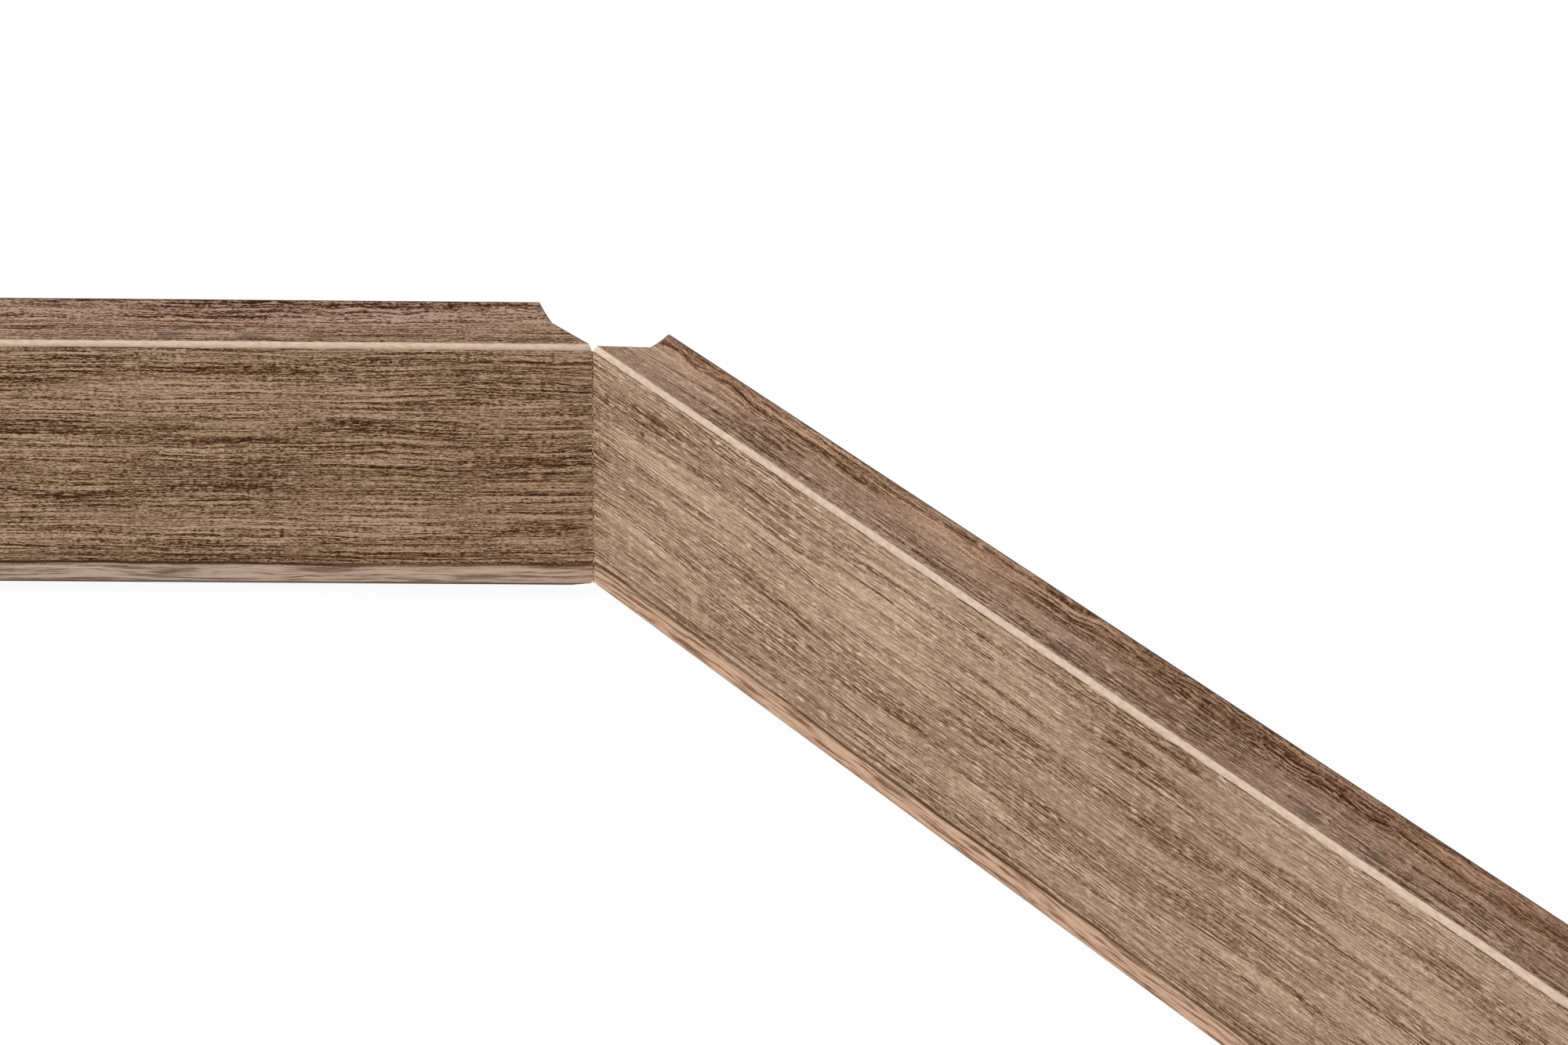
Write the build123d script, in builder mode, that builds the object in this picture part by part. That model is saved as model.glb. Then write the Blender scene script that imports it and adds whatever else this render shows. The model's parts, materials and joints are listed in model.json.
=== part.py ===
from build123d import *

import os

# A length of skirting board. A mitre notch is cut through it from behind, as far as the decor foil
# on its front, so the uncut foil is a hinge between a left and a right length. The board stands on
# its foot with the right length folded forward, and the notch stands open towards the wall.

# Section of the board, in millimetres
board_height = 80.0
board_depth = 14.0
toe_height = 4.2  # foot bevel under the front face
toe_depth = 5.8
toe_radius = 2.2  # where the foil turns under the front face
strip_rise = 1.7  # narrow pale rounding above the front face
strip_setback = 0.7
ledge_rise = 0.8  # fall of the ledge from the lip to the pale rounding
lip_rise = 4.1  # from the ledge to the top edge
lip_run = 3.2
lip_top_width = 0.4  # flat on the top edge
lip_hollow = 0.15  # of the lip's front
crease_radius = 0.6  # where the ledge turns up into the lip

# Lengths of the board, measured along the foot of its front face
stock_length = 2400.0
left_length = 1000.0

# The notch and the fold
mitre_angle = 45.0  # each cut face, from square
foil_width = 0.5  # bare foil at the bottom of the notch
fold_angle = 53.6  # the right length, forward from straight

# Worked out from the sizes above
right_length = stock_length - left_length
ledge_back_height = board_height - lip_rise
ledge_front_height = ledge_back_height - ledge_rise
face_top_height = ledge_front_height - strip_rise
lip_top_depth = board_depth - lip_top_width
crease_depth = lip_top_depth - lip_run
foil_half = foil_width / 2

# Both lengths point to the right along their front faces, and lie in front of the wall behind them
along_left = Vector(1, 0, 0)
behind_left = Vector(0, 1, 0)
along_right = along_left.rotate(Axis.Z, -fold_angle)
behind_right = behind_left.rotate(Axis.Z, -fold_angle)

# The corners of the two square ends, seen from the fold line, are the folded board's reach on the
# floor, and the origin lies at its middle
square_ends = [
    along_left * -left_length,
    along_left * -left_length + behind_left * board_depth,
    along_right * right_length,
    along_right * right_length + behind_right * board_depth,
]
end_x = [corner.X for corner in square_ends]
end_y = [corner.Y for corner in square_ends]
fold_x = -(min(end_x) + max(end_x)) / 2
fold_y = -(min(end_y) + max(end_y)) / 2
fold_foot = Vector(fold_x, fold_y, 0)

# The section is drawn at the left length's square end and, for the right length, at the fold line
left_section = Plane(
    fold_foot - along_left * left_length, x_dir=behind_left, z_dir=along_left
)
right_section = Plane(fold_foot, x_dir=behind_right, z_dir=along_right)

# Section of the board: local X is the depth behind the front face, local Y the height
with BuildSketch(Plane.XY) as section:
    with BuildLine():
        Polyline(
            (lip_top_depth, board_height),
            (board_depth, board_height),
            (board_depth, 0),
            (toe_depth, 0),
            (0, toe_height),
            (0, face_top_height),
        )
        TangentArc((0, face_top_height), (strip_setback, ledge_front_height), tangent=(0, 1))
        Line((strip_setback, ledge_front_height), (crease_depth, ledge_back_height))
        SagittaArc(
            (crease_depth, ledge_back_height),
            (lip_top_depth, board_height),
            -lip_hollow,
        )
    make_face()
    toe_corner = section.vertices().sort_by_distance((0, toe_height))[0]
    fillet(toe_corner, toe_radius)
    crease_corner = section.vertices().sort_by_distance((crease_depth, ledge_back_height))[0]
    fillet(crease_corner, crease_radius)

# Left length: from its square end to the mitre that opens away from the fold line
with BuildPart() as left_board:
    with BuildSketch(left_section):
        add(section.sketch)
    extrude(amount=left_length - foil_half)
    left_mitre = Plane(
        fold_foot - along_left * foil_half,
        z_dir=along_left.rotate(Axis.Z, mitre_angle),
    )
    split(bisect_by=left_mitre, keep=Keep.BOTTOM)
left_board.part.label = "left_length"

# Right length: the same section folded forward about the fold line
with BuildPart() as right_board:
    with BuildSketch(right_section):
        add(section.sketch)
    extrude(amount=right_length)
    right_mitre = Plane(
        fold_foot + along_right * foil_half,
        z_dir=along_right.rotate(Axis.Z, -mitre_angle),
    )
    split(bisect_by=right_mitre, keep=Keep.TOP)
right_board.part.label = "right_length"

os.makedirs("parts", exist_ok=True)
export_step(left_board.part, "parts/left_length.step")
export_step(right_board.part, "parts/right_length.step")

print("fold line at", round(fold_x, 3), round(fold_y, 3))
print("right length runs along", tuple(round(v, 6) for v in along_right))
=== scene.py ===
"""A skirting board in wood decor, notched from behind and folded forward at the uncut foil."""

import json
from math import atan, atan2, cos, pi, radians, sin, tan

import bmesh
import bpy
from bpy.props import FloatProperty, FloatVectorProperty, PointerProperty
from mathutils import Matrix, Vector


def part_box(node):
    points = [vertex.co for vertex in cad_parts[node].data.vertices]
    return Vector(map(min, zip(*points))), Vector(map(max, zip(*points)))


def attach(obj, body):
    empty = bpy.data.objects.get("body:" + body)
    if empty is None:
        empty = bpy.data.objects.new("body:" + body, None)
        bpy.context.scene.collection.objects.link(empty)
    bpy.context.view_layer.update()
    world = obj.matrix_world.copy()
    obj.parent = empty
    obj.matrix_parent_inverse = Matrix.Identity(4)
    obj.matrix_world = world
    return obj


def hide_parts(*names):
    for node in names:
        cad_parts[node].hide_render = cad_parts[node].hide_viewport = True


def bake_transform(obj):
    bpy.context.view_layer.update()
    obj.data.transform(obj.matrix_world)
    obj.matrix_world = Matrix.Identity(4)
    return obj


bl_info = {
    "name": "Skirting board",
    "version": (1, 0, 0),
    "blender": (4, 5, 0),
    "location": "View3D > Sidebar > Skirting",
    "description": "Dresses a folded skirting board in wood decor foil",
    "category": "Object",
}

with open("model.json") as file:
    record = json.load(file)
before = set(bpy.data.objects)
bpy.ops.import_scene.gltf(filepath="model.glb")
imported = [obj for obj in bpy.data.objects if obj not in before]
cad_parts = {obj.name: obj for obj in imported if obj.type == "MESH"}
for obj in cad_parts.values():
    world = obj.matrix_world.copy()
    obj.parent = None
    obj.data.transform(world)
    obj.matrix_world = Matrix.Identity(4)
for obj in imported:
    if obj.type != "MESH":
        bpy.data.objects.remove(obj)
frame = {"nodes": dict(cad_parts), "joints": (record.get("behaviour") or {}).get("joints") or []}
MM = 0.001
LEFT_NODE, RIGHT_NODE = "left_length", "right_length"
LEFT_BODY, RIGHT_BODY = "left_part", "right_part"

# Sizes of the board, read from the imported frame
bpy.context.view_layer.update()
hinge = frame["joints"][0]
fold_foot = Vector((hinge["pos_m"][0], hinge["pos_m"][1], 0.0))
left_low, left_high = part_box(LEFT_NODE)
board_depth = left_high.y - left_low.y
board_height = left_high.z
left_run = fold_foot.x - left_low.x

# The front corner of the right length's square end is its lowest Y
right_end = min((v.co for v in frame["nodes"][RIGHT_NODE].data.vertices), key=lambda c: c.y)
right_reach = Vector((right_end.x - fold_foot.x, right_end.y - fold_foot.y))
fold_angle = atan2(-right_reach.y, right_reach.x)
right_run = right_reach.length
mitre_run = tan(radians(45.0))

# Corners sharper than this stay sharp, on the board and on the foil across the fold
BOARD_SHARP = radians(28)
FOLD_SHARP = radians(50)

# Grain layers: patch along and across the board in millimetres, detail, roughness, seed
GRAIN_LAYERS = {
    "rows": (260, 1.4, 2, 0.8, 11),
    "bands": (220, 10, 2, 0.6, 13),
    "streak": (26, 1.3, 3, 0.8, 17),
    "thread": (44, 0.50, 1, 0.7, 61),
    "fleck": (4.2, 0.7, 2, 0.8, 19),
    "comb": (60, 1.4, 2, 0.7, 73),
    "gather": (60, 6, 2, 0.5, 29),
    "cloud": (120, 34, 1, 0.5, 31),
    "pore": (8, 0.40, 1, 0.5, 37),
    "dash": (4.5, 0.28, 1, 0.5, 41),
}

# How far the long and short lines of the grain move its tone
LINE_SWINGS = {"rows": 0.7, "streak": 0.55, "thread": 2.4, "fleck": 1.1}

# Tints of the foil, left and right of the fold
LEDGE_TINTS = ((0.755, 0.735, 0.79), (0.87, 0.83, 0.845))
LIP_TINTS = ((0.80, 0.765, 0.86), (0.59, 0.50, 0.455))
LEFT_TINT = (0.965, 0.885, 0.806)
# Painted shade towards the far end of the right length, where less lamp light falls
FAR_RIGHT_SHADE = (0.885, 0.86, 0.845)

# Dark and pale lines of the band at the foot
LEFT_FOOT = ((0.36, 0.215, 0.145), (0.96, 0.74, 0.585))
RIGHT_FOOT = ((0.20, 0.09, 0.044), (0.72, 0.48, 0.33))

# Dark lines over that band: from and to in millimetres above the toe, and strength
FOOT_LINES = ((5.1, 6.1, 1.0), (7.5, 8.3, 0.6))

# The bare core, and how the rounding is lit low and high on it left of the fold
CORE_SHADE = (0.56, 0.41, 0.30)
STRIP_LIT = ((1.03, 1.0, 0.98), (1.42, 1.40, 1.38))
SAWN_TONES = [(0.0, (0.36, 0.245, 0.155)), (0.5, (0.56, 0.41, 0.285)), (1.0, (0.70, 0.54, 0.40))]

SMUDGE_COLOUR = (0.13, 0.085, 0.06)
# Painted shadow along the foil's edge under the rounding
FOIL_EDGE_SHADOW = (0.055, 0.032, 0.018)
TOP_LINE_COLOUR = (0.09, 0.07, 0.06)

# Places on the foil, in millimetres
SIDE_FADE = 12.0  # to each side of the fold
BACK_WRAP = 6.0  # foil wrapped over the top of the back
KNOT_FROM_FOLD, KNOT_BELOW_STRIP = 21.6, 14.4
SMUDGE_ABOVE_STRIP = 2.4

# Smudges on the ledge: millimetres from the fold, and strength
LEDGE_SMUDGES = (
    (-107.0, 0.65),
    (-87.0, 0.6),
    (-70.0, 0.3),
    (-46.0, 0.35),
    (180.0, 0.35),
    (261.0, 0.7),
    (281.0, 0.65),
)

# Foil across the fold
FOLD_STEPS, FOLD_ROWS = 10, 24

# Stage
FLOOR_REACH = 12.0
FLOOR_WHITE = 0.8
FLOOR_GLOW, FLOOR_GLOW_SHARE = 1.045, 0.9
SKY_LIGHT = 0.48
KEY_LAMP_OFFSET = Vector((-4.8, -0.48, 3.6))
KEY_LAMP_SIZE, KEY_LAMP_POWER = 3.0, 244.0


class SectionSizes(bpy.types.PropertyGroup):
    """Section of the moulding."""

    toe_height: FloatProperty(
        name="Toe height", description="Height of the foot bevel", default=4.2 * MM, unit="LENGTH"
    )
    toe_depth: FloatProperty(
        name="Toe depth", description="Depth of the foot bevel", default=5.8 * MM, unit="LENGTH"
    )
    toe_radius: FloatProperty(
        name="Toe radius", description="Turn of the foil under the face", default=2.2 * MM, unit="LENGTH"
    )
    strip_rise: FloatProperty(
        name="Strip rise", description="Height of the pale rounding", default=1.7 * MM, unit="LENGTH"
    )
    strip_setback: FloatProperty(
        name="Strip setback", description="Depth of the pale rounding", default=0.7 * MM, unit="LENGTH"
    )
    ledge_rise: FloatProperty(
        name="Ledge rise", description="Fall of the ledge to the front", default=0.8 * MM, unit="LENGTH"
    )
    lip_rise: FloatProperty(
        name="Lip rise", description="Height of the lip over the ledge", default=4.1 * MM, unit="LENGTH"
    )
    lip_run: FloatProperty(
        name="Lip run", description="Depth of the lip's slope", default=3.2 * MM, unit="LENGTH"
    )
    lip_top: FloatProperty(
        name="Lip top", description="Width of the flat top edge", default=0.4 * MM, unit="LENGTH"
    )
    lip_hollow: FloatProperty(
        name="Lip hollow", description="Hollow of the lip's slope", default=0.15 * MM, unit="LENGTH"
    )
    crease_radius: FloatProperty(
        name="Crease radius", description="Turn from ledge to lip", default=0.6 * MM, unit="LENGTH"
    )
    edge_radius: FloatProperty(
        name="Edge radius", description="Softening of the back edges", default=0.15 * MM, unit="LENGTH"
    )
    foil_thickness: FloatProperty(
        name="Foil thickness", description="Thickness of the decor foil", default=0.12 * MM, unit="LENGTH"
    )
    foil_width: FloatProperty(
        name="Foil width", description="Bare foil across the fold", default=0.5 * MM, unit="LENGTH"
    )
    station_gap: FloatProperty(
        name="Station gap", description="Spacing of cross sections", default=5.0 * MM, unit="LENGTH"
    )


class DecorColours(bpy.types.PropertyGroup):
    """Colours of the decor foil and the bare core."""

    # Also the colour of the painted shade on the toe's bevel and in the fold's crease
    deep: FloatVectorProperty(
        name="Deep grain",
        description="Darkest pores",
        default=(0.0685, 0.027, 0.008),
        size=3,
        subtype="COLOR",
    )
    dark: FloatVectorProperty(
        name="Dark grain",
        description="Dark grain",
        default=(0.194, 0.105, 0.054),
        size=3,
        subtype="COLOR",
    )
    middle: FloatVectorProperty(
        name="Ground", description="Ground tone", default=(0.386, 0.253, 0.161), size=3, subtype="COLOR"
    )
    light: FloatVectorProperty(
        name="Light grain",
        description="Light grain",
        default=(0.596, 0.425, 0.294),
        size=3,
        subtype="COLOR",
    )
    # Also the colour of the painted highlights on the embossing
    pale: FloatVectorProperty(
        name="Palest fibre",
        description="Palest fibres",
        default=(0.88, 0.665, 0.49),
        size=3,
        subtype="COLOR",
    )
    core: FloatVectorProperty(
        name="Core", description="Bare board", default=(0.76, 0.60, 0.475), size=3, subtype="COLOR"
    )
    rim: FloatVectorProperty(
        name="Cut rim",
        description="Cut edge of the foil",
        default=(0.16, 0.15, 0.14),
        size=3,
        subtype="COLOR",
    )


class ViewSizes(bpy.types.PropertyGroup):
    """The camera of the reference view."""

    lens: FloatProperty(
        name="Lens", description="Focal length on a 36 mm sensor", default=99.25, unit="CAMERA"
    )
    distance: FloatProperty(
        name="Distance",
        description="From the camera to the fold's top, along the view",
        default=1.0995,
        unit="LENGTH",
    )
    fold_left: FloatProperty(
        name="Fold left",
        description="The fold's top, left of the view's axis",
        default=48.66 * MM,
        unit="LENGTH",
    )
    fold_above: FloatProperty(
        name="Fold above",
        description="The fold's top, above the view's axis",
        default=43.59 * MM,
        unit="LENGTH",
    )
    elevation: FloatProperty(
        name="Elevation", description="Downward tilt of the view", default=radians(30.72), unit="ROTATION"
    )
    heading: FloatProperty(
        name="Heading",
        description="Turn of the view about the vertical",
        default=radians(1.53),
        unit="ROTATION",
    )
    roll: FloatProperty(
        name="Roll", description="Roll of the view", default=radians(1.20), unit="ROTATION"
    )


def rounded_corner(before, corner, after, radius, steps):
    """Points of an arc that rounds a corner of an outline."""
    a, b = (before - corner).normalized(), (after - corner).normalized()
    half = a.angle(b) / 2
    reach = radius / tan(half)
    centre = corner + (a + b).normalized() * (radius / sin(half))
    start, end = corner + a * reach - centre, corner + b * reach - centre
    turn = start.angle_signed(end)
    return [centre + Matrix.Rotation(-turn * i / steps, 2) @ start for i in range(steps + 1)]


def board_outline(sizes):
    """Outline of the section as (depth, height), from the foot's back corner round by the front."""
    ledge_back = board_height - sizes.lip_rise
    ledge_front = ledge_back - sizes.ledge_rise
    face_top = ledge_front - sizes.strip_rise
    lip_front = board_depth - sizes.lip_top
    crease = lip_front - sizes.lip_run
    foot_back, toe_back = Vector((board_depth, 0)), Vector((sizes.toe_depth, 0))
    toe_front, face_end = Vector((0, sizes.toe_height)), Vector((0, face_top))
    ledge_start, crease_corner = Vector((sizes.strip_setback, ledge_front)), Vector((crease, ledge_back))
    lip_end, top_back = Vector((lip_front, board_height)), Vector((board_depth, board_height))
    soft = sizes.edge_radius

    strip_radius = (sizes.strip_rise**2 + sizes.strip_setback**2) / (2 * sizes.strip_setback)
    strip_turn = 2 * atan(sizes.strip_setback / sizes.strip_rise)
    strip_steps = 8
    inner = strip_radius - sizes.foil_thickness
    strip = []
    for i in range(strip_steps + 1):
        angle = strip_turn * i / strip_steps
        strip.append(Vector((strip_radius - inner * cos(angle), face_top + inner * sin(angle))))

    slope = lip_end - crease_corner
    inward = Vector((slope.y, -slope.x)).normalized()
    lip_steps = 6
    lip = []
    for i in range(2, lip_steps):
        t = i / lip_steps
        lip.append(crease_corner + slope * t + inward * (sizes.lip_hollow * 4 * t * (1 - t)))

    marks = {}
    points = []

    def put(name, *new):
        points.extend(new)
        if name:
            marks[name] = len(points) - 1

    put("start", foot_back - Vector((soft, 0)))
    put("foot", *rounded_corner(foot_back, toe_back, toe_front, 3 * soft, 3))
    put("toe", *rounded_corner(toe_back, toe_front, face_end, sizes.toe_radius, 6))
    put("face_top", face_end)
    put("strip", *strip)
    put("ledge_start", ledge_start)
    put("crease", *rounded_corner(ledge_start, crease_corner, lip[0], sizes.crease_radius, 4))
    put("lip", *lip)
    put("lip_top", *rounded_corner(lip[-1], lip_end, top_back, soft, 3))
    put("back_top", *rounded_corner(lip_end, top_back, foot_back, soft, 3))
    put("back_foot", *rounded_corner(top_back, foot_back, toe_back, soft, 3))
    around = [0.0]
    for a, b in zip(points, points[1:]):
        around.append(around[-1] + (b - a).length)
    return points, around, {name: around[i] for name, i in marks.items()}


class NodeBuilder:
    """Short names for the nodes of one tree."""

    def __init__(self, tree):
        self.tree = tree

    def add(self, kind, **settings):
        node = self.tree.nodes.new(kind)
        for name, value in settings.items():
            setattr(node, name, value)
        return node

    def plug(self, socket, value):
        if isinstance(value, bpy.types.NodeSocket):
            self.tree.links.new(value, socket)
        elif value is not None:
            socket.default_value = value

    def math(self, operation, a, b=None, c=None, clamp=False):
        node = self.add("ShaderNodeMath", operation=operation, use_clamp=clamp)
        for socket, value in zip(node.inputs, (a, b, c)):
            self.plug(socket, value)
        return node.outputs[0]

    def total(self, *values):
        result = values[0]
        for value in values[1:]:
            result = self.math("ADD", result, value)
        return result

    def remap(self, value, low, high, to_low=0.0, to_high=1.0, smooth=True):
        kind = "SMOOTHSTEP" if smooth else "LINEAR"
        node = self.add("ShaderNodeMapRange", interpolation_type=kind)
        for socket, given in zip(node.inputs, (value, low, high, to_low, to_high)):
            self.plug(socket, given)
        return node.outputs[0]

    def window(self, value, low, high, soft):
        """1 between low and high, falling to 0 over a soft edge on each side."""
        rise = self.remap(value, low - soft, low + soft)
        fall = self.remap(value, high - soft, high + soft)
        return self.math("SUBTRACT", rise, fall, clamp=True)

    def combine(self, x, y, z=0.0):
        node = self.add("ShaderNodeCombineXYZ")
        for socket, value in zip(node.inputs, (x, y, z)):
            self.plug(socket, value)
        return node.outputs[0]

    def noise(self, u, v, along, across, detail=2.0, rough=0.5, seed=0.0):
        """Noise about one patch per along by across millimetres."""
        column = self.math("MULTIPLY_ADD", u, 1 / along, 37.7 * seed)
        row = self.math("MULTIPLY_ADD", v, 1 / across, 19.3 * seed)
        node = self.add("ShaderNodeTexNoise", noise_dimensions="2D")
        self.plug(node.inputs["Vector"], self.combine(column, row))
        self.plug(node.inputs["Scale"], 1.0)
        self.plug(node.inputs["Detail"], detail)
        self.plug(node.inputs["Roughness"], rough)
        return node.outputs["Fac"]

    def swing(self, noise, amount):
        """A noise about its middle, times an amount."""
        return self.math("MULTIPLY", self.math("SUBTRACT", noise, 0.5), amount)

    def mix(self, factor, a, b, blend="MIX"):
        node = self.add("ShaderNodeMix", data_type="RGBA", blend_type=blend)
        node.clamp_factor = True
        self.plug(node.inputs["Factor"], factor)
        for name, value in (("A", a), ("B", b)):
            socket = [s for s in node.inputs if s.name == name and s.type == "RGBA"][0]
            self.plug(socket, value if isinstance(value, bpy.types.NodeSocket) else (*value, 1.0))
        return [s for s in node.outputs if s.type == "RGBA"][0]

    def ramp(self, value, stops):
        node = self.add("ShaderNodeValToRGB")
        self.plug(node.inputs["Fac"], value)
        elements = node.color_ramp.elements
        while len(elements) < len(stops):
            elements.new(0.5)
        for element, (place, colour) in zip(elements, stops):
            element.position = place
            element.color = (*colour, 1.0)
        return node.outputs["Color"]


def new_material(name):
    """An empty node material, with its builder and its Principled shader."""
    material = bpy.data.materials.new(name)
    material.use_nodes = True
    material.node_tree.nodes.clear()
    kit = NodeBuilder(material.node_tree)
    shader = kit.add("ShaderNodeBsdfPrincipled")
    output = kit.add("ShaderNodeOutputMaterial")
    kit.plug(output.inputs["Surface"], shader.outputs[0])
    return material, kit, shader


def board_coordinates(kit):
    """Millimetres along the board from the fold, and round its section."""
    uv = kit.add("ShaderNodeUVMap", uv_map="UVMap")
    split = kit.add("ShaderNodeSeparateXYZ")
    kit.plug(split.inputs[0], uv.outputs[0])
    return kit.math("DIVIDE", split.outputs[0], MM), kit.math("DIVIDE", split.outputs[1], MM)


class FoilPattern:
    """Pattern of the decor foil, in millimetres along the board and round its section."""

    def __init__(self, kit, colours, marks):
        self.kit = kit
        self.colours = colours
        self.mark = {name: value / MM for name, value in marks.items()}
        self.u, self.v = board_coordinates(kit)
        self.lip = kit.remap(self.v, self.mark["crease"] - 1.0, self.mark["crease"] + 0.6)
        self.left = kit.remap(self.u, SIDE_FADE, -SIDE_FADE)
        self.layers = self.grain_layers()
        gather = kit.math("MULTIPLY_ADD", self.left, 0.05, self.layers["gather"])
        self.cluster = kit.remap(gather, 0.40, 0.62)
        self.tone = self.grain_tone()

    def noise(self, *patch, **settings):
        """Noise that follows the board and no grain."""
        return self.kit.noise(self.u, self.v, *patch, **settings)

    def paint(self, surface, mask, strength, colour):
        """A colour over the surface, where a mask lies."""
        return self.kit.mix(self.kit.math("MULTIPLY", mask, strength), surface, colour)

    def sides(self, pair):
        """A colour that differs left and right of the fold."""
        left_colour, right_colour = pair
        return self.kit.mix(self.left, right_colour, left_colour)

    def grain_layers(self):
        """Noise layers of the grain, bent alike by slow waves, and more on the lip."""
        kit = self.kit
        wave = kit.swing(self.noise(80, 14, detail=1, seed=3), 4.0)
        ripple_size = kit.remap(self.lip, 0, 1, 0.8, 2.2, smooth=False)
        self.ripple = kit.swing(self.noise(16, 6, detail=1, seed=7), ripple_size)
        across = kit.total(self.v, wave, self.ripple)
        layers = {name: kit.noise(self.u, across, *patch) for name, patch in GRAIN_LAYERS.items()}
        layers["speck"] = self.noise(1.2, 0.38, detail=1, rough=0.9, seed=23)
        return layers

    def grain_tone(self):
        """Tone of the grain, from its darkest lines at 0 to its palest at 1."""
        kit, layers, left, cluster = self.kit, self.layers, self.left, self.cluster
        # The grain is bolder in its dark clusters, left of the fold and on the lip
        strong = kit.math("MAXIMUM", left, kit.math("MULTIPLY", self.lip, 0.6))
        bold = kit.total(0.36, kit.math("MULTIPLY", cluster, 0.26), kit.math("MULTIPLY", strong, 0.34))
        lines = [kit.swing(layers[name], amount) for name, amount in LINE_SWINGS.items()]
        sand = kit.swing(layers["speck"], kit.math("MULTIPLY_ADD", left, 0.9, 1.5))
        combed = kit.math("MULTIPLY", self.lip, kit.swing(layers["comb"], 1.8))
        grain = kit.total(*lines, sand, combed)
        patches = kit.total(kit.swing(layers["bands"], 0.72), kit.swing(layers["cloud"], 0.45))
        patches = kit.math("MULTIPLY", patches, kit.math("MULTIPLY_ADD", left, 0.35, 0.65))
        tone = kit.total(0.56, patches, kit.math("MULTIPLY", grain, bold))
        return kit.math("MULTIPLY_ADD", cluster, -0.12, tone)

    def grain(self):
        """Colour of the grain, with fine dark pores and pale dashes of painted highlight where the embossing
        shines.
        """
        kit, colours = self.kit, self.colours
        shades = (colours.deep, colours.dark, colours.middle, colours.light, colours.pale)
        wood = kit.ramp(self.tone, [(i / 4, shade) for i, shade in enumerate(shades)])
        pore = kit.remap(self.layers["pore"], 0.37, 0.27)
        pore = kit.math("MULTIPLY", pore, kit.math("MULTIPLY_ADD", self.cluster, 0.35, 0.3))
        wood = self.paint(wood, pore, kit.math("MULTIPLY_ADD", self.lip, -0.7, 1.0), colours.deep)
        # Painted highlights: pale dashes where the embossing shines
        dash = kit.remap(self.layers["dash"], 0.63, 0.69)
        return self.paint(wood, dash, 0.85, colours.pale)

    def tints(self, wood):
        """The ledge is duller than the face, the lip redder and darker right of the fold, and painted shade
        darkens the far right.
        """
        kit, mark = self.kit, self.mark
        ledge = kit.window(self.v, mark["ledge_start"], mark["crease"] - 0.3, 0.4)
        wood = kit.mix(ledge, wood, self.sides(LEDGE_TINTS), "MULTIPLY")
        wood = kit.mix(self.lip, wood, self.sides(LIP_TINTS), "MULTIPLY")
        wood = kit.mix(self.left, wood, LEFT_TINT, "MULTIPLY")
        # Painted shade: the right length darkens towards its far end
        return kit.mix(kit.remap(self.u, 90, 260), wood, FAR_RIGHT_SHADE, "MULTIPLY")

    def foot(self, wood):
        """The foot has a wavy band of its own under dark lines, pinker left of the fold, and painted shade
        on the toe's bevel.
        """
        kit, toe, deep = self.kit, self.mark["toe"], self.colours.deep
        sway = kit.swing(self.noise(30, 9, detail=2, seed=67), 1.6)
        edge = kit.total(self.v, sway, kit.math("MULTIPLY", self.left, 1.3))
        band = kit.remap(edge, toe + 6.0, toe + 4.0)
        across = kit.total(edge, self.ripple)
        lines = kit.remap(kit.noise(self.u, across, 22, 1.0, detail=3, rough=0.7, seed=71), 0.36, 0.56)
        foot_wood = kit.mix(self.left, kit.mix(lines, *RIGHT_FOOT), kit.mix(lines, *LEFT_FOOT))
        wood = self.paint(wood, band, 0.85, foot_wood)
        dark = []
        for low, high, strength in FOOT_LINES:
            dark.append(kit.math("MULTIPLY", kit.window(edge, toe + low, toe + high, 0.3), strength))
        broken = kit.remap(self.layers["rows"], 0.38, 0.52, 0.6, 0.95)
        wood = self.paint(wood, kit.total(*dark), broken, deep)
        # Painted shade on the toe's bevel, the lowest edge of the board
        rim = kit.remap(kit.math("MULTIPLY_ADD", self.left, 0.8, self.v), toe - 0.9, toe - 1.5)
        return self.paint(wood, rim, 0.8, deep)

    def spot(self, place, height, reach, width, ragged=0.5):
        """A ragged oval mask at a place along the board and a height round its section."""
        kit = self.kit
        x = kit.math("DIVIDE", kit.math("SUBTRACT", self.u, place), reach)
        y = kit.math("DIVIDE", kit.math("SUBTRACT", self.v, height), width)
        away = kit.math("SQRT", kit.math("ADD", kit.math("MULTIPLY", x, x), kit.math("MULTIPLY", y, y)))
        return kit.remap(kit.math("ADD", away, kit.swing(self.layers["streak"], ragged)), 1.0, 0.35)

    def spots(self, wood):
        """A knot on the right, and smudges along both ledges."""
        knot = self.spot(KNOT_FROM_FOLD, self.mark["face_top"] - KNOT_BELOW_STRIP, 1.5, 1.0)
        wood = self.paint(wood, knot, 0.9, self.colours.deep)
        for place, strength in LEDGE_SMUDGES:
            smudge = self.spot(place, self.mark["ledge_start"] + SMUDGE_ABOVE_STRIP, 4.5, 2.0, 2.5)
            wood = self.paint(wood, smudge, strength, SMUDGE_COLOUR)
        return wood

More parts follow.
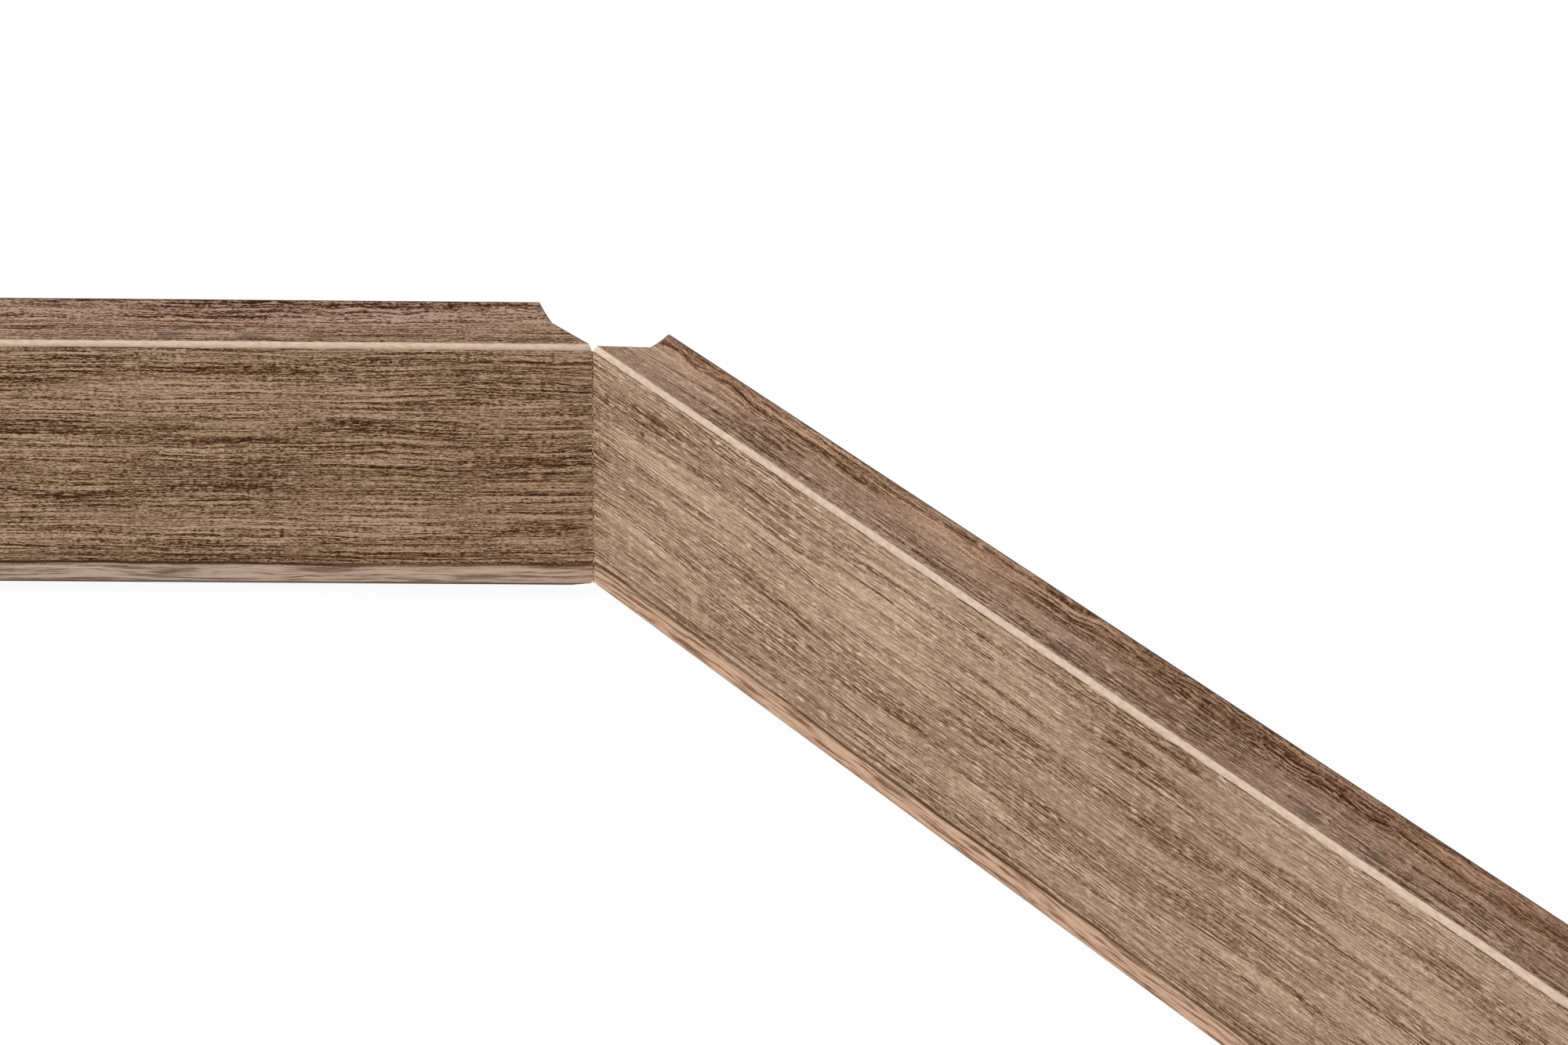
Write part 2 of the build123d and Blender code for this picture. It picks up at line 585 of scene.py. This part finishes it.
    def bare_core(self, wood):
        """The foil's ragged edges leave the core bare along the rounding, the back and the foot."""
        kit, mark, colours = self.kit, self.mark, self.colours
        self.edge = kit.total(self.v, kit.swing(self.noise(3.0, 2.0, detail=3, seed=43), 0.35))
        strip = kit.window(self.edge, mark["face_top"] + 0.05, mark["ledge_start"] - 0.05, 0.06)
        back = kit.remap(self.edge, mark["back_top"] + BACK_WRAP, mark["back_top"] + BACK_WRAP + 0.1)
        foot = kit.remap(self.edge, mark["foot"] - 0.6, mark["foot"] - 0.7)
        tone = kit.total(kit.swing(self.noise(2.2, 0.9, detail=2, seed=47), 1.7), 0.74)
        core = kit.mix(tone, CORE_SHADE, colours.core)
        lit = kit.mix(kit.remap(self.v, mark["face_top"], mark["face_top"] + 0.9), *STRIP_LIT)
        core = kit.mix(kit.math("MULTIPLY", self.left, strip), core, lit, "MULTIPLY")
        return kit.mix(kit.math("MAXIMUM", strip, kit.math("MAXIMUM", back, foot)), wood, core)

    def edge_lines(self, surface):
        """Painted shadow along the foil's edge under the rounding, a dark line on the top edge, and a grey
        rim at the cuts.
        """
        kit, mark = self.kit, self.mark
        # Painted shadow under the rounding, along the foil's edge
        under = kit.window(self.edge, mark["face_top"] - 0.28, mark["face_top"] + 0.02, 0.10)
        gaps = kit.remap(self.noise(9, 50, detail=2, seed=53), 0.44, 0.64)
        surface = self.paint(surface, under, gaps, FOIL_EDGE_SHADOW)
        cut = kit.add("ShaderNodeAttribute", attribute_name="from_cut")
        near_cut = kit.remap(kit.math("DIVIDE", cut.outputs["Fac"], MM), 0.45, 0.15)
        foiled = kit.window(self.v, mark["strip"], mark["back_top"] + BACK_WRAP, 0.1)
        surface = self.paint(surface, near_cut, foiled, self.colours.rim)
        top = kit.window(self.v, mark["lip_top"] - 0.1, mark["back_top"] + 0.5, 0.08)
        return self.paint(surface, top, 0.85, TOP_LINE_COLOUR)

    def fold_crease_shade(self, surface):
        """Painted shade darkens the crease of the fold near its top."""
        kit, face_top = self.kit, self.mark["face_top"]
        crease = kit.window(self.u, -0.14, 0.14, 0.1)
        upwards = kit.remap(self.v, face_top - 14, face_top - 8, 0.3, 0.9)
        return self.paint(surface, crease, upwards, self.colours.deep)


def add_bump(kit, shader, height, distance, strength):
    """Relief of a surface, with its depth in millimetres."""
    bump = kit.add("ShaderNodeBump")
    bump.inputs["Distance"].default_value = distance * MM
    bump.inputs["Strength"].default_value = strength
    kit.plug(bump.inputs["Height"], height)
    kit.plug(shader.inputs["Normal"], bump.outputs[0])


def decor_foil(colours, marks):
    """Printed and embossed wood decor foil, with the bare core where the foil leaves it."""
    material, kit, shader = new_material("decor_foil")
    pattern = FoilPattern(kit, colours, marks)
    surface = pattern.tints(pattern.grain())
    surface = pattern.spots(pattern.foot(surface))
    surface = pattern.edge_lines(pattern.bare_core(surface))
    # Painted shade in the crease of the fold
    surface = pattern.fold_crease_shade(surface)
    kit.plug(shader.inputs["Base Color"], surface)
    kit.plug(shader.inputs["Roughness"], kit.remap(pattern.tone, 0.2, 0.9, 0.72, 0.6))
    shader.inputs["Specular IOR Level"].default_value = 0.08
    relief = kit.total(kit.swing(pattern.noise(5, 0.35, detail=1, seed=37), 1.0), 0.5)
    add_bump(kit, shader, relief, 0.10, 0.7)
    return material


def sawn_core():
    """Sawn faces of the wood-fibre core."""
    material, kit, shader = new_material("sawn_core")
    u, v = board_coordinates(kit)
    flecks = kit.noise(u, v, 0.5, 0.35, detail=3, seed=3)
    cloud = kit.noise(u, v, 4, 6, detail=2, seed=5)
    saw = kit.noise(u, v, 14, 0.5, detail=1, seed=9)
    tone = kit.total(0.5, kit.swing(flecks, 1.1), kit.swing(cloud, 0.5), kit.swing(saw, 0.5))
    kit.plug(shader.inputs["Base Color"], kit.ramp(tone, SAWN_TONES))
    shader.inputs["Roughness"].default_value = 0.85
    add_bump(kit, shader, kit.total(flecks, saw), 0.08, 0.6)
    return material


def run_tree():
    """Geometry nodes that draw a length of moulding from its outline, with leaning ends."""
    tree = bpy.data.node_groups.new("moulding_run", "GeometryNodeTree")
    face = tree.interface
    face.new_socket("Geometry", in_out="INPUT", socket_type="NodeSocketGeometry")
    for name in ("Start", "End", "Start lean", "End lean", "Foil half"):
        face.new_socket(name, in_out="INPUT", socket_type="NodeSocketFloat")
    face.new_socket("Stations", in_out="INPUT", socket_type="NodeSocketInt")
    face.new_socket("Material", in_out="INPUT", socket_type="NodeSocketMaterial")
    face.new_socket("Geometry", in_out="OUTPUT", socket_type="NodeSocketGeometry")
    kit = NodeBuilder(tree)
    given = kit.add("NodeGroupInput").outputs
    result = kit.add("NodeGroupOutput")

    def attribute(name):
        node = kit.add("GeometryNodeInputNamedAttribute", data_type="FLOAT")
        node.inputs["Name"].default_value = name
        return node.outputs[0]

    def store(geometry, name, kind, domain, value):
        node = kit.add("GeometryNodeStoreNamedAttribute", data_type=kind, domain=domain)
        node.inputs["Name"].default_value = name
        kit.plug(node.inputs["Geometry"], geometry)
        kit.plug(node.inputs["Value"], value)
        return node.outputs[0]

    section = kit.add("GeometryNodeMeshToCurve")
    kit.plug(section.inputs["Mesh"], given["Geometry"])
    line = kit.add("GeometryNodeCurvePrimitiveLine")
    line.inputs["End"].default_value = (1, 0, 0)
    path = kit.add("GeometryNodeResampleCurve")
    kit.plug(path.inputs["Curve"], line.outputs[0])
    kit.plug(path.inputs["Count"], given["Stations"])
    share = kit.add("GeometryNodeSplineParameter")
    path = store(path.outputs[0], "share", "FLOAT", "POINT", share.outputs["Factor"])
    sweep = kit.add("GeometryNodeCurveToMesh")
    kit.plug(sweep.inputs["Curve"], path)
    kit.plug(sweep.inputs["Profile Curve"], section.outputs[0])

    depth = attribute("depth")
    start = kit.math("MULTIPLY_ADD", depth, given["Start lean"], given["Start"])
    end = kit.math("MULTIPLY_ADD", depth, given["End lean"], given["End"])
    along = kit.math("MULTIPLY_ADD", attribute("share"), kit.math("SUBTRACT", end, start), start)
    place = kit.add("GeometryNodeSetPosition")
    kit.plug(place.inputs["Geometry"], sweep.outputs[0])
    kit.plug(place.inputs["Position"], kit.combine(along, depth, attribute("height")))
    reach = kit.math("SUBTRACT", kit.math("ABSOLUTE", along), kit.math("ADD", depth, given["Foil half"]))
    placed = store(place.outputs[0], "along", "FLOAT", "POINT", along)
    placed = store(placed, "from_cut", "FLOAT", "POINT", reach)
    mapped = store(placed, "UVMap", "FLOAT2", "CORNER", kit.combine(attribute("along"), attribute("around")))
    real = kit.add("GeometryNodeRealizeInstances")
    kit.plug(real.inputs[0], mapped)
    finish = kit.add("GeometryNodeSetMaterial")
    kit.plug(finish.inputs["Geometry"], real.outputs[0])
    kit.plug(finish.inputs["Material"], given["Material"])
    kit.plug(result.inputs[0], finish.outputs[0])
    return tree


def outline_object(name, points, around):
    """A loose chain of edges that carries the section's own measures."""
    mesh = bpy.data.meshes.new(name)
    mesh.from_pydata([(0, p.x, p.y) for p in points], [(i, i + 1) for i in range(len(points) - 1)], [])
    measures = {"depth": [p.x for p in points], "height": [p.y for p in points], "around": around}
    for key, values in measures.items():
        mesh.attributes.new(key, "FLOAT", "POINT").data.foreach_set("value", values)
    obj = bpy.data.objects.new(name, mesh)
    bpy.context.scene.collection.objects.link(obj)
    return obj


def apply_tree(obj, tree, values):
    """Runs a tree on an object and keeps the result as its plain mesh."""
    modifier = obj.modifiers.new(tree.name, "NODES")
    modifier.node_group = tree
    sockets = {s.name: s.identifier for s in tree.interface.items_tree if s.in_out == "INPUT"}
    for name, value in values.items():
        modifier[sockets[name]] = value
    bpy.context.view_layer.update()
    evaluated = obj.evaluated_get(bpy.context.evaluated_depsgraph_get())
    mesh = bpy.data.meshes.new_from_object(evaluated)
    obj.modifiers.remove(modifier)
    obj.data = mesh
    return obj


def close_ends(mesh, cut_index):
    """Welds the seam, closes both ends with sawn faces and turns all faces outwards."""
    bm = bmesh.new()
    bm.from_mesh(mesh)
    bmesh.ops.remove_doubles(bm, verts=bm.verts, dist=1e-7)
    open_edges = [e for e in bm.edges if e.is_boundary]
    ends = bmesh.ops.holes_fill(bm, edges=open_edges, sides=0)["faces"]
    uv = bm.loops.layers.uv["UVMap"]
    for face in ends:
        face.material_index = cut_index
        for loop in face.loops:
            loop[uv].uv = (loop.vert.co.y, loop.vert.co.z)
    bmesh.ops.triangulate(bm, faces=ends)
    bmesh.ops.recalc_face_normals(bm, faces=bm.faces)
    bm.to_mesh(mesh)
    bm.free()


def smooth_faces(mesh, sharp_angle):
    """Smooth shading, with the edges over an angle kept sharp."""
    for polygon in mesh.polygons:
        polygon.use_smooth = True
    mesh.set_sharp_from_angle(angle=sharp_angle)


def moulded_length(name, node, body, start, end, leans, turn):
    """One length of the board, from its outline to its finished mesh."""
    scene = bpy.context.scene
    sizes = scene.skirting_section
    points, around, marks = board_outline(sizes)
    foil = bpy.data.materials.get("decor_foil") or decor_foil(scene.skirting_colours, marks)
    core = bpy.data.materials.get("sawn_core") or sawn_core()
    tree = bpy.data.node_groups.get("moulding_run") or run_tree()
    piece = outline_object(name, points, around)
    values = {
        "Start": start,
        "End": end,
        "Start lean": leans[0],
        "End lean": leans[1],
        "Foil half": sizes.foil_width / 2,
        "Stations": int(round((end - start) / sizes.station_gap)) + 1,
        "Material": foil,
    }
    apply_tree(piece, tree, values)
    piece.data.materials.append(core)
    close_ends(piece.data, len(piece.data.materials) - 1)
    piece.data.transform(Matrix.Translation(fold_foot) @ Matrix.Rotation(turn, 4, "Z"))
    smooth_faces(piece.data, BOARD_SHARP)
    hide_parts(node)
    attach(piece, body)
    return piece


class SKIRTING_OT_lengths(bpy.types.Operator):
    """Draw the left and the right length of the board"""

    bl_idname = "skirting.lengths"
    bl_label = "Board lengths"

    def execute(self, context):
        half = context.scene.skirting_section.foil_width / 2
        moulded_length("left_board", LEFT_NODE, LEFT_BODY, -left_run, -half, (0.0, -mitre_run), 0.0)
        moulded_length("right_board", RIGHT_NODE, RIGHT_BODY, half, right_run, (mitre_run, 0.0), -fold_angle)
        return {"FINISHED"}


def fold_profile(half):
    """The bare foil seen from above: points from the left cut to the right one, and their place along it."""
    left_edge = Vector((-half, 0))
    right_edge = Vector((cos(fold_angle), -sin(fold_angle))) * half
    profile = []
    for i in range(FOLD_STEPS + 1):
        t = i / FOLD_STEPS
        profile.append((left_edge * (1 - t) ** 2 + right_edge * t**2, (2 * t - 1) * half))
    return profile


def foil_sheet(profile, thickness, low, high, toe):
    """A thin closed sheet that stands on the profile, with the foil's own coordinates."""
    bm = bmesh.new()
    uv = bm.loops.layers.uv.new("UVMap")
    behind = Vector((sin(fold_angle / 2), cos(fold_angle / 2))) * thickness
    front, back = [], []
    for row in range(FOLD_ROWS + 1):
        z = low + (high - low) * row / FOLD_ROWS
        front.append([bm.verts.new((*point, z)) for point, along in profile])
        back.append([bm.verts.new((*(point + behind), z)) for point, along in profile])

    def quad(*corners):
        made = bm.faces.new([sheet[row][i] for sheet, i, row in corners])
        for loop, (sheet, i, row) in zip(made.loops, corners):
            loop[uv].uv = (profile[i][1], toe + (high - low) * row / FOLD_ROWS)

    for row in range(FOLD_ROWS):
        for i in range(FOLD_STEPS):
            for sheet in (front, back):
                quad((sheet, i, row), (sheet, i + 1, row), (sheet, i + 1, row + 1), (sheet, i, row + 1))
        for i in (0, FOLD_STEPS):
            quad((front, i, row), (back, i, row), (back, i, row + 1), (front, i, row + 1))
    for row in (0, FOLD_ROWS):
        for i in range(FOLD_STEPS):
            quad((front, i, row), (front, i + 1, row), (back, i + 1, row), (back, i, row))
    bmesh.ops.recalc_face_normals(bm, faces=bm.faces)
    mesh = bpy.data.meshes.new("fold_foil")
    bm.to_mesh(mesh)
    bm.free()
    return mesh


class SKIRTING_OT_fold(bpy.types.Operator):
    """Draw the uncut foil that joins the two lengths"""

    bl_idname = "skirting.fold"
    bl_label = "Foil across the fold"

    def execute(self, context):
        sizes = context.scene.skirting_section
        points, around, marks = board_outline(sizes)
        shallow = 0.3 * MM
        low = min(p.y for p in points if p.x < shallow)
        high = points[around.index(marks["face_top"])].y
        profile = fold_profile(sizes.foil_width / 2)
        mesh = foil_sheet(profile, sizes.foil_thickness, low, high, marks["toe"])
        mesh.transform(Matrix.Translation(fold_foot))
        # The rim of a cut is never drawn on the foil between the cuts
        far_from_cut = [1.0] * len(mesh.vertices)
        mesh.attributes.new("from_cut", "FLOAT", "POINT").data.foreach_set("value", far_from_cut)
        piece = bpy.data.objects.new("fold_foil", mesh)
        context.scene.collection.objects.link(piece)
        mesh.materials.append(bpy.data.materials["decor_foil"])
        smooth_faces(mesh, FOLD_SHARP)
        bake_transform(piece)
        return {"FINISHED"}


def soft_lamp(name, place, aim, size, power):
    """A round area lamp that points at its aim."""
    data = bpy.data.lights.new(name, "AREA")
    data.shape = "DISK"
    data.size = size
    data.energy = power
    lamp = bpy.data.objects.new(name, data)
    lamp.location = place
    lamp.rotation_euler = (aim - place).to_track_quat("-Z", "Y").to_euler()
    bpy.context.scene.collection.objects.link(lamp)


def seen_rays(kit):
    """1 for rays that show the white background: camera, glossy and transmission rays."""
    rays = kit.add("ShaderNodeLightPath").outputs
    mirrored = kit.math("MAXIMUM", rays["Is Glossy Ray"], rays["Is Transmission Ray"])
    return kit.math("MAXIMUM", rays["Is Camera Ray"], mirrored)


def pale_floor():
    """A white floor that keeps a faint shadow for the camera."""
    material = bpy.data.materials.new("pale_floor")
    material.use_nodes = True
    material.node_tree.nodes.clear()
    kit = NodeBuilder(material.node_tree)
    diffuse = kit.add("ShaderNodeBsdfDiffuse")
    diffuse.inputs["Color"].default_value = (FLOOR_WHITE, FLOOR_WHITE, FLOOR_WHITE, 1.0)
    glow = kit.add("ShaderNodeEmission")
    glow.inputs["Strength"].default_value = FLOOR_GLOW
    blend = kit.add("ShaderNodeMixShader")
    kit.plug(blend.inputs[0], kit.math("MULTIPLY", seen_rays(kit), FLOOR_GLOW_SHARE))
    kit.plug(blend.inputs[1], diffuse.outputs[0])
    kit.plug(blend.inputs[2], glow.outputs[0])
    output = kit.add("ShaderNodeOutputMaterial")
    kit.plug(output.inputs["Surface"], blend.outputs[0])
    return material


def white_sky():
    """A world that lights softly and looks white."""
    world = bpy.data.worlds.new("studio")
    world.use_nodes = True
    world.node_tree.nodes.clear()
    kit = NodeBuilder(world.node_tree)
    sky = kit.add("ShaderNodeBackground")
    kit.plug(sky.inputs["Strength"], kit.remap(seen_rays(kit), 0.0, 1.0, SKY_LIGHT, 1.0, smooth=False))
    output = kit.add("ShaderNodeOutputWorld")
    kit.plug(output.inputs["Surface"], sky.outputs[0])
    return world


def view_camera(view, sizes):
    """The camera, placed so that the top of the fold's front lies where the view puts it."""
    data = bpy.data.cameras.new("view_camera")
    data.sensor_width = 36.0
    data.lens = view.lens
    data.clip_end = 50.0
    camera = bpy.data.objects.new("view_camera", data)
    turn = (
        Matrix.Rotation(-view.heading, 4, "Z")
        @ Matrix.Rotation(pi / 2 - view.elevation, 4, "X")
        @ Matrix.Rotation(view.roll, 4, "Z")
    )
    face_top = board_height - sizes.lip_rise - sizes.ledge_rise - sizes.strip_rise
    fold_top = fold_foot + Vector((0, 0, face_top))
    step = turn.to_3x3() @ Vector((view.fold_left, -view.fold_above, view.distance))
    camera.matrix_world = Matrix.Translation(fold_top + step) @ turn
    return camera


class SKIRTING_OT_stage(bpy.types.Operator):
    """Set the floor, the soft lamp, the sky and the camera"""

    bl_idname = "skirting.stage"
    bl_label = "Stage"

    def execute(self, context):
        scene = context.scene
        mesh = bpy.data.meshes.new("floor")
        reach = FLOOR_REACH
        corners = [(-reach, -reach, 0), (reach, -reach, 0), (reach, reach, 0), (-reach, reach, 0)]
        mesh.from_pydata(corners, [], [(0, 1, 2, 3)])
        mesh.materials.append(pale_floor())
        floor = bpy.data.objects.new("floor", mesh)
        scene.collection.objects.link(floor)

        aim = fold_foot + Vector((0, 0, board_height / 2))
        soft_lamp("key_lamp", aim + KEY_LAMP_OFFSET, aim, KEY_LAMP_SIZE, KEY_LAMP_POWER)
        scene.world = white_sky()
        scene.view_settings.view_transform = "Standard"

        camera = view_camera(scene.skirting_view, scene.skirting_section)
        scene.collection.objects.link(camera)
        scene.camera = camera
        return {"FINISHED"}


class SKIRTING_PT_panel(bpy.types.Panel):
    """Sidebar panel of the skirting board"""

    bl_label = "Skirting board"
    bl_idname = "SKIRTING_PT_panel"
    bl_space_type = "VIEW_3D"
    bl_region_type = "UI"
    bl_category = "Skirting"

    def draw(self, context):
        for operator in (SKIRTING_OT_lengths, SKIRTING_OT_fold, SKIRTING_OT_stage):
            self.layout.operator(operator.bl_idname)


CLASSES = (
    SectionSizes,
    DecorColours,
    ViewSizes,
    SKIRTING_OT_lengths,
    SKIRTING_OT_fold,
    SKIRTING_OT_stage,
    SKIRTING_PT_panel,
)


def register():
    for cls in CLASSES:
        bpy.utils.register_class(cls)
    bpy.types.Scene.skirting_section = PointerProperty(type=SectionSizes)
    bpy.types.Scene.skirting_colours = PointerProperty(type=DecorColours)
    bpy.types.Scene.skirting_view = PointerProperty(type=ViewSizes)


def unregister():
    del bpy.types.Scene.skirting_section
    del bpy.types.Scene.skirting_colours
    del bpy.types.Scene.skirting_view
    for cls in reversed(CLASSES):
        bpy.utils.unregister_class(cls)


def main():
    register()
    bpy.ops.skirting.lengths()
    bpy.ops.skirting.fold()
    bpy.ops.skirting.stage()


if __name__ == "__main__":
    main()
